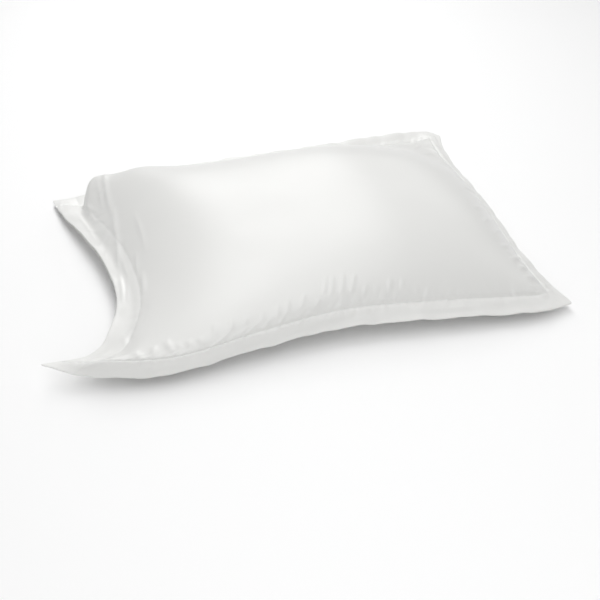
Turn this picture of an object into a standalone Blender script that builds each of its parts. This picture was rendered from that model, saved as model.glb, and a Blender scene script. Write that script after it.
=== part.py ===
"""A pillowcase filled with its pillow, lying on its back panel.

Two cloth panels are sewn together on three sides with a flat flange, and the fourth side
is the hemmed mouth. The case and its filling are one closed solid: a crowned top, sides
that draw in between pointed corners, and a flat patch underneath where it rests.
Lengths are in metres. +X runs from the mouth to the sewn end and +Z is up. The origin is
under the middle of the case, on the surface it lies on.
"""

import math

import bmesh
import bpy
from mathutils import Vector

# One panel as it is cut. Shares of a panel below are shares of these.
PANEL_LENGTH = 0.762
PANEL_WIDTH = 0.508

CROWN = 0.091  # how far the filling lifts the top panel over the rim, at its highest
BELLY_REACH = 0.110  # from a seam in to where the under side lies flat
FLANGE_WIDTH = 0.026  # flat sewn border outside the seam line
FLANGE_THICKNESS = 0.0026
HEM_THICKNESS = 0.0020  # one hem at the mouth
MOUTH_GAP = 0.0034  # between the two hems, at the widest
MOUTH_DEPTH = 0.034  # how far the gap runs in
MOUTH_INNER_GAP = 0.0008  # height of the gap at its inner end
MOUTH_START, MOUTH_END = 0.10, 0.92  # shares of the mouth's length
MOUTH_FADE = 0.15  # share of the panel's length over which the hems' thickness fades

# How far the empty cloth reaches in from the mouth, as shares of the panel's length: in
# its middle, and at the two ears, where the filling stops short of the corner.
MOUTH_BORDER = 0.025
FRONT_EAR, BACK_EAR = 0.093, 0.052
EAR_POWER = 5.0  # how closely an ear keeps to its corner
EAR_SPREAD = 0.35  # share of the panel's length over which the cell lines make way for it

LAYERS = 3  # of the rim's wall: upper cloth, gap, lower cloth
# Stretches of the panel and the cells in each. They are closer where the cloth is pleated
# and where it rises from a corner.
LONG_STRETCHES = (
    # last, cells
    (MOUTH_BORDER, 2),
    (0.13, 10),
    (0.27, 8),
    (0.385, 4),
    (0.47, 9),
    (0.695, 27),
    (0.90, 8),
    (1.0 - FLANGE_WIDTH / PANEL_LENGTH, 4),
    (1.0, 2),
)
WIDE_STRETCHES = (
    # last, cells
    (FLANGE_WIDTH / PANEL_WIDTH, 2),
    (0.20, 8),
    (0.76, 11),
    (1.0 - FLANGE_WIDTH / PANEL_WIDTH, 14),
    (1.0, 2),
)

# The rim seen from above, and its height. Each row is a point on the outer edge.
# along: share of that side's cut length, from the mouth end on the two long sides and
# from the front on the two short ones. x, y, z: metres, to the middle of the cloth.
FRONT_EDGE = (
    # along, x, y, z
    (0.00, -0.375, -0.226, 0.027),
    (0.08, -0.318, -0.257, 0.023),
    (0.21, -0.220, -0.274, 0.018),
    (0.37, -0.100, -0.259, 0.023),
    (0.54, 0.030, -0.246, 0.027),
    (0.77, 0.200, -0.257, 0.023),
    (0.92, 0.318, -0.264, 0.016),
    (1.00, 0.376, -0.252, 0.011),
)
BACK_EDGE = (
    (0.00, -0.360, 0.214, 0.008),
    (0.08, -0.306, 0.216, 0.011),
    (0.22, -0.200, 0.226, 0.034),
    (0.42, -0.050, 0.228, 0.043),
    (0.62, 0.100, 0.232, 0.046),
    (0.82, 0.240, 0.242, 0.047),
    (0.95, 0.322, 0.244, 0.044),
    (1.00, 0.350, 0.228, 0.040),
)
MOUTH_EDGE = (
    (0.00, -0.375, -0.226, 0.027),
    (0.12, -0.312, -0.222, 0.026),
    (0.20, -0.287, -0.196, 0.030),
    (0.34, -0.268, -0.126, 0.034),
    (0.52, -0.281, -0.030, 0.034),
    (0.70, -0.311, 0.062, 0.028),
    (0.87, -0.342, 0.147, 0.016),
    (1.00, -0.360, 0.214, 0.008),
)
SEWN_END = (
    (0.00, 0.376, -0.252, 0.011),
    (0.11, 0.358, -0.200, 0.019),
    (0.25, 0.347, -0.130, 0.027),
    (0.44, 0.346, -0.040, 0.033),
    (0.62, 0.343, 0.040, 0.036),
    (0.80, 0.337, 0.130, 0.038),
    (0.92, 0.341, 0.192, 0.040),
    (1.00, 0.350, 0.228, 0.040),
)

# How the filling rises from each side. reach: share of the panel over which it rises.
# fullness: 1 is a parabola, and less is a rounder shoulder. It goes from its first value
# to its last along the side.
RISE_START = 0.06  # keeps the rise from starting upright
RISE = {
    # side: (reach, first fullness, last fullness)
    "front": (0.70, 0.84, 0.46),
    "back": (0.45, 0.37, 1.10),
    "mouth": (0.31, 0.95, 0.84),
    "end": (0.47, 0.55, 0.99),
}

# Where the pillow inside is fuller or emptier: cosine waves over the panel change the
# height of the filling by a share.
UNEVEN = (
    # half waves along the length, and across, and the share
    (1, 0, -0.238),
    (2, 0, 0.049),
    (3, 0, 0.051),
    (0, 1, -0.033),
    (0, 2, 0.027),
    (1, 1, -0.238),
)

# How far the seam line stands over the outer edge, so that the flange droops or stands up,
# and the hemmed cloth over the mouth's edge.
LIFT = {
    # side: (first, middle, last)
    "front": (0.016, 0.019, 0.002),
    "back": (-0.012, -0.012, -0.012),
    "end": (0.005, 0.009, 0.004),
    "mouth": (0.003, 0.003, 0.005),
}
LIFT_FADE = 0.24  # from a side in to where its lift has gone
LIFT_ENDS = 0.10  # share of the side, at each end, over which its lift starts

# Where the filling stands proud of that: the raised corner beside the back ear.
SWELLS = (
    # x, y, radius_x, radius_y, height
    (-0.292, 0.179, 0.044, 0.044, 0.034),
    (-0.225, 0.180, 0.064, 0.064, 0.024),
    (-0.303, 0.190, 0.026, 0.026, 0.018),
)
SWELL_START = 0.1  # share of the fill height at which a swell has its full height

# Fans of small pleats that a seam or hem draws up. side: edge they start at. first,
# last: shares of that side. pleats: how many. reach: how far in. height: of a ridge.
PLEATS = (
    # side, first, last, pleats, reach, height
    ("front", 0.470, 0.695, 9, 0.066, 0.0020),
    ("front", 0.385, 0.470, 3, 0.050, 0.0014),
    ("end", 0.060, 0.260, 4, 0.045, 0.0014),
    ("end", 0.780, 0.940, 3, 0.045, 0.0014),
)

# Single folds of the upper panel, on the cut panel. along: from the mouth. across: from
# the front. width: of the ridge, to where a third of its height is left.
FOLDS = (
    # along, across, to along, to across, width, height
    (0.103, 0.480, 0.070, 0.364, 0.0085, 0.0022),
    (0.078, 0.385, 0.044, 0.290, 0.0085, 0.0026),
    (0.050, 0.309, 0.024, 0.225, 0.0085, 0.0026),
    (0.030, 0.250, 0.020, 0.160, 0.0085, 0.0018),
    (0.190, 0.038, 0.155, 0.072, 0.0085, 0.0016),
    (0.162, 0.036, 0.120, 0.080, 0.0085, 0.0018),
    (0.129, 0.028, 0.085, 0.078, 0.0085, 0.0022),
)

SATIN_WHITE = (0.80, 0.80, 0.80, 1.0)
SATIN_ROUGHNESS = 0.38

ON_SIDE = 1e-6  # a corner this near a side of the unit box is on it


def clear_scene():
    """Remove every object that the scene holds."""
    for thing in list(bpy.data.objects):
        bpy.data.objects.remove(thing, do_unlink=True)


def satin_material():
    """White satin cotton."""
    material = bpy.data.materials.new("white_satin")
    material.use_nodes = True
    shader = material.node_tree.nodes["Principled BSDF"]
    shader.inputs["Base Color"].default_value = SATIN_WHITE
    shader.inputs["Roughness"].default_value = SATIN_ROUGHNESS
    shader.inputs["Metallic"].default_value = 0.0
    return material


def clamp(value):
    """The value, kept between 0 and 1."""
    return min(max(value, 0.0), 1.0)


def smooth(value):
    """An S-shaped step from 0 to 1."""
    value = clamp(value)
    return value * value * (3.0 - 2.0 * value)


def eased(value):
    """A rise from 0 to 1 that levels off."""
    return 1.0 - (1.0 - clamp(value)) ** 2


def through(values, t):
    """A smooth curve through three values, at t from 0 to 1."""
    first, middle, last = values
    return (
        first * (1.0 - t) * (1.0 - 2.0 * t) + middle * 4.0 * t * (1.0 - t) + last * t * (2.0 * t - 1.0)
    )


# The rim


def slope_at(rows, i):
    """Tangent of an edge table at row i, per unit of its first column."""
    low, high = max(i - 1, 0), min(i + 1, len(rows) - 1)
    return (Vector(rows[high][1:]) - Vector(rows[low][1:])) / (rows[high][0] - rows[low][0])


def edge_point(rows, along):
    """Point of an edge table at a share of its length, on a smooth curve."""
    i = max(k for k in range(len(rows) - 1) if rows[k][0] <= along)
    span = rows[i + 1][0] - rows[i][0]
    t = (along - rows[i][0]) / span
    start, end = Vector(rows[i][1:]), Vector(rows[i + 1][1:])
    leaving, arriving = slope_at(rows, i) * span, slope_at(rows, i + 1) * span
    return (
        start * (2 * t**3 - 3 * t**2 + 1)
        + leaving * (t**3 - 2 * t**2 + t)
        + end * (3 * t**2 - 2 * t**3)
        + arriving * (t**3 - t**2)
    )


def rim_point(u, v):
    """Point of the sheet spanned by the four edges. u runs along X and v along Y."""
    along_x = edge_point(FRONT_EDGE, u).lerp(edge_point(BACK_EDGE, u), v)
    along_y = edge_point(MOUTH_EDGE, v).lerp(edge_point(SEWN_END, v), u)
    front = edge_point(FRONT_EDGE, 0.0).lerp(edge_point(FRONT_EDGE, 1.0), u)
    back = edge_point(BACK_EDGE, 0.0).lerp(edge_point(BACK_EDGE, 1.0), u)
    return along_x + along_y - front.lerp(back, v)


def from_side(side, u, v):
    """Share along a side, and cloth length in from it, of the point at u, v."""
    return {
        "front": (u, v * PANEL_WIDTH),
        "back": (u, (1.0 - v) * PANEL_WIDTH),
        "mouth": (v, u * PANEL_LENGTH),
        "end": (v, (1.0 - u) * PANEL_LENGTH),
    }[side]


def seam_lift(u, v):
    """How far the seams lift the cloth over the plain sheet between the edges."""
    lift = 0.0
    for side, lifts in LIFT.items():
        along, inward = from_side(side, u, v)
        most = through(lifts, along) * smooth(min(along, 1.0 - along) / LIFT_ENDS)
        lift += most * smooth(inward / FLANGE_WIDTH) * (1.0 - smooth(inward / LIFT_FADE))
    return lift


def sheet_point(u, v):
    """Middle of the cloth at u, v, with the seams' lift."""
    point = rim_point(u, v)
    point.z += seam_lift(u, v)
    return point


# The filling


def rise_from(side, along, share, border):
    """Height share of the filling at a share of the panel in from one side."""
    reach, first, last = RISE[side]
    fullness = first + (last - first) * smooth(along)
    low, high = RISE_START**fullness, (1.0 + RISE_START) ** fullness
    rise = eased((share - border) / (reach - border))
    return ((rise + RISE_START) ** fullness - low) / (high - low)


def mouth_border(v):
    """Share of the panel's length that lies empty inside the mouth."""
    return MOUTH_BORDER + FRONT_EAR * (1.0 - v) ** EAR_POWER + BACK_EAR * v**EAR_POWER


def fill_share(u, v):
    """Height of the filling at u, v, from 0 on the seams to 1 at the crown."""
    seam_u, seam_v = FLANGE_WIDTH / PANEL_LENGTH, FLANGE_WIDTH / PANEL_WIDTH
    return (
        rise_from("front", u, v, seam_v)
        * rise_from("back", u, 1.0 - v, seam_v)
        * rise_from("mouth", v, u, mouth_border(v))
        * rise_from("end", v, 1.0 - u, seam_u)
    )


def unevenness(u, v):
    """Share of the crown's height that the filling has at u, v, about 1."""
    share = 1.0
    for long_waves, wide_waves, change in UNEVEN:
        share += change * math.cos(math.pi * long_waves * u) * math.cos(math.pi * wide_waves * v)
    return share


def swell_height(x, y):
    """Added height of the swells at a plan position."""
    height = 0.0
    for centre_x, centre_y, radius_x, radius_y, peak in SWELLS:
        far = ((x - centre_x) / radius_x) ** 2 + ((y - centre_y) / radius_y) ** 2
        height += peak * math.exp(-far)
    return height


def pleat_height(u, v):
    """Height of the small pleats at u, v. They fade out away from their seam."""
    height = 0.0
    for side, first, last, pleats, reach, ridge in PLEATS:
        along, inward = from_side(side, u, v)
        t = (along - first) / (last - first)
        depth = (inward - FLANGE_WIDTH) / reach
        if 0.0 < t < 1.0 and 0.0 < depth < 1.0:
            fade = math.sin(math.pi * depth**0.6) * math.sin(math.pi * t) ** 0.5
            height += ridge * fade * math.cos(2.0 * math.pi * pleats * t)
    return height


def fold_height(u, v):
    """Height of the single folds at u, v."""
    x, y = u * PANEL_LENGTH, v * PANEL_WIDTH
    height = 0.0
    for start_x, start_y, end_x, end_y, width, ridge in FOLDS:
        run_x, run_y = end_x - start_x, end_y - start_y
        t = ((x - start_x) * run_x + (y - start_y) * run_y) / (run_x**2 + run_y**2)
        if 0.0 < t < 1.0:
            away = math.hypot(x - start_x - t * run_x, y - start_y - t * run_y) / width
            height += ridge * math.exp(-away * away) * math.sin(math.pi * t) ** 0.7
    return height


def mouth_share(u, v):
    """1 at the middle of the mouth, falling to 0 at its ends and away from it."""
    t = clamp((v - MOUTH_START) / (MOUTH_END - MOUTH_START))
    return (t * (1.0 - t) * 4.0) ** 0.5 * (1.0 - smooth(u / MOUTH_FADE))


def half_thickness(u, v):
    """Half of the cloth's thickness at the rim: sewn flange, or two hems and their gap."""
    sewn = FLANGE_THICKNESS / 2
    return sewn + (HEM_THICKNESS + MOUTH_GAP / 2 - sewn) * mouth_share(u, v)


def top_height(u, v, sheet):
    """Height of the upper surface."""
    fill = fill_share(u, v)
    swell = swell_height(sheet.x, sheet.y) * smooth(fill / SWELL_START)
    crown = CROWN * fill * unevenness(u, v)
    small = pleat_height(u, v) + fold_height(u, v)
    return sheet.z + half_thickness(u, v) + crown + swell + small


def bottom_height(u, v, sheet):
    """Height of the under surface. It is exactly 0 over the patch that it rests on."""
    share = 1.0
    for side in RISE:
        inward = from_side(side, u, v)[1]
        share *= eased((inward - FLANGE_WIDTH) / BELLY_REACH)
    return (sheet.z - half_thickness(u, v)) * (1.0 - share)


# The mesh


def cell_lines(stretches):
    """Shares of a panel's length where the cell lines lie."""
    lines = [0.0]
    for last, cells in stretches:
        start = lines[-1]
        lines += [start + (last - start) * (k + 1) / cells for k in range(cells)]
    return lines


def beside_ear(u, v):
    """Share along the panel where a cell line lies, once the ears have pushed it in."""
    border = mouth_border(v)
    if u <= MOUTH_BORDER:
        return u * border / MOUTH_BORDER
    return max(u, border + (u - MOUTH_BORDER) * (EAR_SPREAD - border) / (EAR_SPREAD - MOUTH_BORDER))


def runs_along(edge, axis):
    """Whether an edge is parallel to an axis."""
    step = edge.verts[1].co - edge.verts[0].co
    return abs(step[axis]) > 0.5 * step.length


def cell_block(cells_long, cells_wide):
    """A box with corners at 0 and 1, cut into cells. Its walls are three layers high."""
    mesh = bmesh.new()
    bmesh.ops.create_cube(mesh, size=1.0)
    bmesh.ops.translate(mesh, verts=mesh.verts, vec=(0.5, 0.5, 0.5))
    for axis, cells in enumerate((cells_long, cells_wide, LAYERS)):
        edges = [e for e in mesh.edges if runs_along(e, axis)]
        bmesh.ops.subdivide_edges(mesh, edges=edges, cuts=cells - 1, use_grid_fill=True)
    return mesh


def in_mouth(face, wide_lines):
    """Whether a face of the box is on the gap between the two hems."""
    middle = face.calc_center_median()
    in_layer = abs(middle.z - 0.5) < 0.5 / LAYERS
    return (
        middle.x < ON_SIDE
        and in_layer
        and MOUTH_START < wide_lines[int(middle.y * (len(wide_lines) - 1))] < MOUTH_END
    )


def open_mouth(mesh, wide_lines):
    """Sink the middle layer of the mouth side into the box. Returns its inner corners."""
    faces = [f for f in mesh.faces if in_mouth(f, wide_lines)]
    sunk = bmesh.ops.extrude_face_region(mesh, geom=faces)["geom"]
    bmesh.ops.delete(mesh, geom=faces, context="FACES")
    return {part for part in sunk if isinstance(part, bmesh.types.BMVert)}


def placed(corner, inner, u, v):
    """Where a corner of the box goes in the filled case."""
    up = math.copysign(1.0, corner.co.z - 0.5)
    if corner in inner:
        sheet = sheet_point(MOUTH_DEPTH / PANEL_LENGTH, v)
        return sheet.x, sheet.y, sheet.z + up * MOUTH_INNER_GAP / 2
    sheet = sheet_point(u, v)
    if corner.co.z > 1.0 - ON_SIDE:
        return sheet.x, sheet.y, top_height(u, v, sheet)
    if corner.co.z < ON_SIDE:
        return sheet.x, sheet.y, bottom_height(u, v, sheet)
    gap = max(MOUTH_GAP * mouth_share(u, v), FLANGE_THICKNESS / LAYERS)
    return sheet.x, sheet.y, sheet.z + up * gap / 2


def centre_over_origin(mesh):
    """Move the mesh so that the middle of its box, seen from above, is at the origin."""
    for axis in (0, 1):
        places = [corner.co[axis] for corner in mesh.verts]
        middle = (min(places) + max(places)) / 2
        for corner in mesh.verts:
            corner.co[axis] -= middle


def case_mesh():
    """The filled case as one closed mesh."""
    long_lines, wide_lines = cell_lines(LONG_STRETCHES), cell_lines(WIDE_STRETCHES)
    cells_long, cells_wide = len(long_lines) - 1, len(wide_lines) - 1
    mesh = cell_block(cells_long, cells_wide)
    inner = open_mouth(mesh, wide_lines)
    for corner in mesh.verts:
        v = wide_lines[round(corner.co.y * cells_wide)]
        u = beside_ear(long_lines[round(corner.co.x * cells_long)], v)
        corner.co = placed(corner, inner, u, v)
    centre_over_origin(mesh)
    resting = [f for f in mesh.faces if all(c.co.z == 0.0 for c in f.verts)]
    bmesh.ops.dissolve_faces(mesh, faces=resting, use_verts=False)
    bmesh.ops.recalc_face_normals(mesh, faces=mesh.faces)
    return mesh


def add_case(collection):
    """The filled pillowcase as an object."""
    mesh = case_mesh()
    data = bpy.data.meshes.new("pillowcase")
    mesh.to_mesh(data)
    mesh.free()
    data.shade_smooth()
    data.materials.append(satin_material())
    collection.objects.link(bpy.data.objects.new("pillowcase", data))


def main():
    """Clear the scene and build the pillowcase."""
    clear_scene()
    collection = bpy.data.collections.new("filled_pillowcase")
    bpy.context.scene.collection.children.link(collection)
    add_case(collection)


main()
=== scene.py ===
"""The looks of a satin pillowcase that holds its pillow.

The case is built on its cut panels: a sheet spanned between four sewn edges, lifted by the
filling, opened at the mouth and then relaxed as cloth under pressure. Small gathers, hems
and rows of stitches come after that, on the relaxed cloth. Lengths are in metres, in the
packed part's frame: +X runs from the mouth to the sewn end and +Z is up.
"""

import math
import random
from functools import lru_cache

import bmesh
import bpy
from bpy.props import FloatProperty, FloatVectorProperty, IntProperty, PointerProperty
from mathutils import Matrix, Vector


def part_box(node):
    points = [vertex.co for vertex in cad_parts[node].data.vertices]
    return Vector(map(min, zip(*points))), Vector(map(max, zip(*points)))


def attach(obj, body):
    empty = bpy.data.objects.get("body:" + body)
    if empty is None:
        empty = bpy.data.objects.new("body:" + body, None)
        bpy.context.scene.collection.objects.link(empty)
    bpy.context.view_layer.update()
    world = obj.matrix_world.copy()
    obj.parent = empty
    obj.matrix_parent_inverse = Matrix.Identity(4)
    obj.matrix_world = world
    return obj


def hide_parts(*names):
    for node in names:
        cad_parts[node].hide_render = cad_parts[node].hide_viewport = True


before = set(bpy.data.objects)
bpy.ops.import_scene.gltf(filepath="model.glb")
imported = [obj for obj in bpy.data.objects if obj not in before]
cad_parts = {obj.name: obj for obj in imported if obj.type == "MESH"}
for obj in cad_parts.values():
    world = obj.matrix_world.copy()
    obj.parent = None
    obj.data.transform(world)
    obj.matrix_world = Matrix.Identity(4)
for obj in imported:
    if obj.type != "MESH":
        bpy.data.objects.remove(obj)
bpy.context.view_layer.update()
CAD_NODE = "pillowcase"
BODY = "root"

bl_info = {
    "name": "Filled Satin Pillowcase",
    "version": (1, 0, 0),
    "blender": (4, 5, 0),
    "location": "View3D > Sidebar > Pillowcase",
    "description": "Makes a satin pillowcase with its pillow inside",
    "category": "Add Mesh",
}

# The rim seen from above, and its height, to the middle of the cloth. along: share of that
# side's cut length, from the mouth on the long sides and from the front on the short ones.
FRONT_EDGE = (
    # along, x, y, z
    (0.00, -0.375, -0.226, 0.027),
    (0.08, -0.318, -0.257, 0.023),
    (0.21, -0.220, -0.274, 0.018),
    (0.37, -0.100, -0.259, 0.023),
    (0.54, 0.030, -0.246, 0.027),
    (0.77, 0.200, -0.257, 0.023),
    (0.92, 0.318, -0.264, 0.016),
    (1.00, 0.376, -0.252, 0.011),
)
BACK_EDGE = (
    (0.00, -0.360, 0.214, 0.008),
    (0.08, -0.306, 0.216, 0.011),
    (0.22, -0.200, 0.226, 0.034),
    (0.42, -0.050, 0.228, 0.043),
    (0.62, 0.100, 0.232, 0.046),
    (0.82, 0.240, 0.242, 0.047),
    (0.95, 0.322, 0.244, 0.044),
    (1.00, 0.350, 0.228, 0.040),
)
MOUTH_EDGE = (
    (0.00, -0.375, -0.226, 0.027),
    (0.12, -0.312, -0.222, 0.026),
    (0.20, -0.287, -0.196, 0.030),
    (0.34, -0.268, -0.126, 0.034),
    (0.52, -0.281, -0.030, 0.034),
    (0.70, -0.311, 0.062, 0.028),
    (0.87, -0.342, 0.147, 0.016),
    (1.00, -0.360, 0.214, 0.008),
)
SEWN_END = (
    (0.00, 0.376, -0.252, 0.011),
    (0.11, 0.358, -0.200, 0.019),
    (0.25, 0.347, -0.130, 0.027),
    (0.44, 0.346, -0.040, 0.033),
    (0.62, 0.343, 0.040, 0.036),
    (0.80, 0.337, 0.130, 0.038),
    (0.92, 0.341, 0.192, 0.040),
    (1.00, 0.350, 0.228, 0.040),
)

# How the filling rises from each side. reach: share of the panel over which it rises.
# fullness: 1 is a parabola, and less is a rounder shoulder. It goes from its first value
# to its last along the side.
RISE_START = 0.06  # keeps the rise from starting upright
RISE = {
    # side: (reach, first fullness, last fullness)
    "front": (0.70, 0.84, 0.46),
    "back": (0.45, 0.37, 1.10),
    "mouth": (0.31, 0.95, 0.84),
    "end": (0.47, 0.55, 0.99),
}

# Where the pillow inside is fuller or emptier: cosine waves over the panel change the
# height of the filling by a share.
UNEVEN = (
    # half waves along the length, and across, and the share
    (1, 0, -0.238),
    (2, 0, 0.049),
    (3, 0, 0.051),
    (0, 1, -0.033),
    (0, 2, 0.027),
    (1, 1, -0.238),
)

# How far the seam line stands over the outer edge, so that the flange droops or stands up,
# and the hemmed cloth over the mouth's edge.
LIFT = {
    # side: (first, middle, last)
    "front": (0.016, 0.019, 0.002),
    "back": (-0.012, -0.012, -0.012),
    "end": (0.005, 0.009, 0.004),
    "mouth": (0.003, 0.003, 0.005),
}
LIFT_FADE = 0.24  # from a side in to where its lift has gone
LIFT_ENDS = 0.10  # share of the side, at each end, over which its lift starts

# Where the filling stands proud of that: the raised corner beside the back ear.
SWELLS = (
    # x, y, radius_x, radius_y, height
    (-0.292, 0.179, 0.044, 0.044, 0.034),
    (-0.225, 0.180, 0.064, 0.064, 0.024),
    (-0.303, 0.190, 0.026, 0.026, 0.018),
)
SWELL_START = 0.1  # share of the fill height at which a swell has its full height

# Stretches where the seam took up more cloth than its length, so the cloth gathers there.
# side: edge that they start at. first, last: shares of it. reach: how far in, metres.
# spare: share by which the cloth there is longer than its place.
LOOSE_CLOTH = (
    # side, first, last, reach, spare
    ("front", 0.03, 0.30, 0.080, 0.050),
    ("front", 0.42, 0.72, 0.080, 0.050),
    ("front", 0.80, 0.97, 0.070, 0.040),
    ("end", 0.03, 0.30, 0.070, 0.040),
    ("end", 0.74, 0.97, 0.060, 0.040),
    ("back", 0.04, 0.25, 0.070, 0.040),
    ("back", 0.40, 0.75, 0.050, 0.030),
    ("mouth", 0.10, 0.85, 0.090, 0.040),
)
SPARE_ROUND = 0.5  # power that rounds a loose stretch's ends

# Single folds of the upper panel, put on after the cloth has relaxed, in millimetres on the
# cut panel. along: from the mouth. across: from the front. width: of the ridge, to where a
# third of its height is left.
FOLDS_MM = (
    # along, across, to along, to across, width, height
    (368, 55, 365, 85, 2.8, 1),
    (381, 49, 377, 82, 3, 1.3),
    (398, 46, 394, 81, 3, 1.4),
    (414, 44, 414, 74, 3.6, 1.5),
    (435, 36, 437, 54, 2.8, 1),
    (455, 39, 455, 50, 2.6, 0.7),
    (478, 38, 475, 56, 3, 1.2),
    (496, 36, 497, 53, 3, 1.2),
    (519, 33, 522, 42, 2.8, 0.7),
    (302, 42, 287, 70, 2.8, 1),
    (315, 43, 304, 73, 3, 1.2),
    (336, 45, 331, 71, 3, 1.2),
    (361, 37, 361, 52, 2.8, 0.9),
    (278, 44, 264, 66, 2.6, 0.8),
    (247, 50, 235, 70, 2.8, 0.7),
    (224, 51, 209, 79, 3.2, 1),
    (197, 54, 180, 83, 3.2, 1),
    (190, 38, 164, 65, 3, 1.3),
    (169, 42, 147, 66, 2.8, 1.1),
    (144, 40, 108, 76, 3.2, 1.8),
    (152, 44, 130, 67, 2.6, 1),
    (74, 59, 112, 28, 3, 1.7),
    (115, 25, 130, 23, 3, 1.6),
    (129, 26, 95, 68, 3, 1.9),
    (47, 81, 26, 104, 3, 1),
    (24, 76, 23, 50, 3.2, 1),
    (47, 64, 61, 21, 3, 0.9),
    (30, 36, 17, 10, 2.8, 0.9),
    (103, 493, 64, 355, 4.4, 2),
    (74, 375, 40, 290, 4.6, 2.4),
    (50, 309, 21, 245, 4.4, 2.2),
    (19, 234, 10, 164, 3.8, 1.6),
    (61, 256, 48, 218, 3.2, 1.1),
    (57, 216, 51, 173, 4.5, 1.6),
    (28, 218, 20, 170, 3, 0.9),
    (14, 370, 34, 348, 2.8, 1.2),
    (44, 441, 54, 397, 2.8, 1),
    (10, 312, 31, 321, 2.6, 1.1),
    (39, 391, 50, 358, 2.6, 0.8),
    (7, 281, 27, 299, 2.4, 0.8),
    (68, 421, 83, 432, 2.6, 1.2),
    (65, 447, 77, 445, 2.6, 1),
    (30, 445, 16, 335, 3, 1.1),
    (54, 470, 38, 372, 3.2, 1.2),
    (84, 470, 62, 392, 3, 0.9),
    (92, 330, 76, 245, 3.8, 1),
    (37, 290, 31, 212, 3, 1),
    (330, 13, 425, 16, 2.6, 1.4),
    (400, 7, 490, 10, 2.4, 1.2),
    (505, 14, 640, 12, 2.6, 1.5),
    (590, 20, 690, 18, 2.4, 1.1),
    (90, 15, 190, 11, 2.6, 1.5),
    (205, 9, 310, 14, 2.6, 1.4),
    (260, 19, 345, 20, 2.4, 1.1),
    (540, 485.5, 738, 485.5, 2.4, 1.6),
    (755, 8, 755, 110, 2.4, 1),
    (701, 199, 672, 175, 2.8, 1.4),
    (707, 172, 673, 143, 3, 1.4),
    (735, 162, 685, 122, 2.8, 1.2),
    (717, 114, 686, 98, 3, 1.5),
    (723, 90, 692, 78, 3, 2.2),
    (727, 72, 700, 66, 3.2, 2.4),
    (728, 53, 703, 51, 3, 2),
    (729, 35, 706, 39, 3.2, 2),
    (729, 21, 713, 31, 2.8, 1.5),
    (710, 94, 693, 89, 2.6, 1.2),
    (699, 24, 701, 34, 2.8, 1.2),
    (676, 24, 676, 33, 2.8, 1.2),
    (716, 258, 690, 246, 3, 1.5),
    (720, 305, 697, 296, 3, 1.4),
    (712, 352, 686, 345, 3.4, 1.6),
    (716, 412, 684, 395, 3.4, 1.8),
    (706, 455, 676, 425, 3.4, 1.8),
)
FOLDS = tuple(tuple(part / 1000.0 for part in row) for row in FOLDS_MM)
FOLD_ROUND = 0.7  # power that rounds a fold's ends
RIDGE_END = 3.0  # widths from its ridge to where a fold or a gather has gone

SIDES = ("front", "back", "mouth", "end")
# How far the empty cloth reaches in from the mouth, as shares of the panel's length: in
# its middle, and at the two ears, where the filling stops short of the corner.
MOUTH_BORDER = 0.025
FRONT_EAR, BACK_EAR = 0.093, 0.052
EAR_POWER = 5.0  # how closely an ear keeps to its corner

MOUTH_START, MOUTH_END = 0.10, 0.92  # shares of the mouth's length
MOUTH_FADE = 0.15  # share of the panel's length over which the hems' thickness fades
MOUTH_ROUND = 0.5  # power that rounds the mouth's ends
MOUTH_CELLS = 5  # of the pocket between the hems, from the mouth in
MOUTH_INNER_GAP = 0.0008  # height of the pocket at its inner end
MOUTH_HELD = 0.012  # from the mouth in to where the cloth may move
LAYERS = 3  # of the rim's wall: upper cloth, gap, lower cloth

SEWN = ("front", "back", "end")
MARKS = ("cut_u", "cut_v", "showing")  # what each corner of the case keeps of its plan
SHOWING = {"top": 1.0, "upper": 0.0, "lower": 0.0, "under": -1.0}
ON_PANEL = 0.99  # showing at which a corner is on the upper, or with a minus, the under panel
SEAM_HALF = 0.0018  # from a row of stitches to the cell lines beside it
SEAM_DIP, HEM_DIP = 0.0013, 0.0004  # depth of the grooves along them
SEAM_CROSSING = 0.9  # share of the border's width beyond which a seam's groove has ended
# The hem's whiter colour, and so this share of it on the border, is partly painted light.
BORDER_DOUBLED_AND_PAINTED_LIGHT = 0.5  # how far the border beyond the seams takes the hem's whiter colour
# How the border beyond the seams, and the mouth's edge, wave up and down.
RUFFLE_WAVES = (
    # length, height
    (0.083, 0.0008),
    (0.047, 0.0007),
    (0.029, 0.0004),
)
RUFFLE_ENDS = 0.06  # share of a side, at each end, over which its ruffle starts
RUFFLE_SHIFT = 0.37  # share of a wave by which each side's ruffle is behind the last one's

# The relaxing cloth: its weight for a square metre, and its damping.
CLOTH_MASS, CLOTH_DAMPING, AIR_DAMPING = 0.3, 8.0, 2.0
SHEAR_SHARE = 3.0  # times that the cloth is softer in shear than along its threads
HOLD_FADE = 0.016  # from a seam in to where the cloth is quite free
MOST_SPARE = 0.10  # spare share that stands for a full weight
RESTING = 0.0004  # lower corners of the under side lie on the surface
ON_LINE = 1e-5  # a share this near a seam's is on it
FLAT = 1e-7  # a height this low is on the surface

# Rows of stitches and the range of the gathers beside them, in metres.
GATHER_ROWS = (
    # side, least and most pitch, least and most reach, least and most height
    ("front", 0.007, 0.014, 0.012, 0.034, 0.0003, 0.0014),
    ("back", 0.007, 0.014, 0.012, 0.034, 0.0003, 0.0014),
    ("end", 0.007, 0.014, 0.012, 0.038, 0.0005, 0.0019),
    ("mouth", 0.014, 0.026, 0.014, 0.030, 0.0001, 0.0006),
)
GATHER_WIDTH = 0.36  # of a gather's ridge, as a share of its pitch
GATHER_SLANT = 0.7  # how far a gather leans, per unit of its reach
GATHER_BACK = 0.7  # share of the border beyond the stitches that they reach over

STITCH_RINGS, STITCH_SIDES = 5, 6
STITCH_BOW, STITCH_SINK = 0.75, 0.15  # in threads, over and under the cloth
STITCH_SHARE = 0.78  # of the pitch, the rest is hidden in the cloth
STITCH_END = 0.72  # thickness of a stitch at its ends, as a share of its middle's

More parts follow.
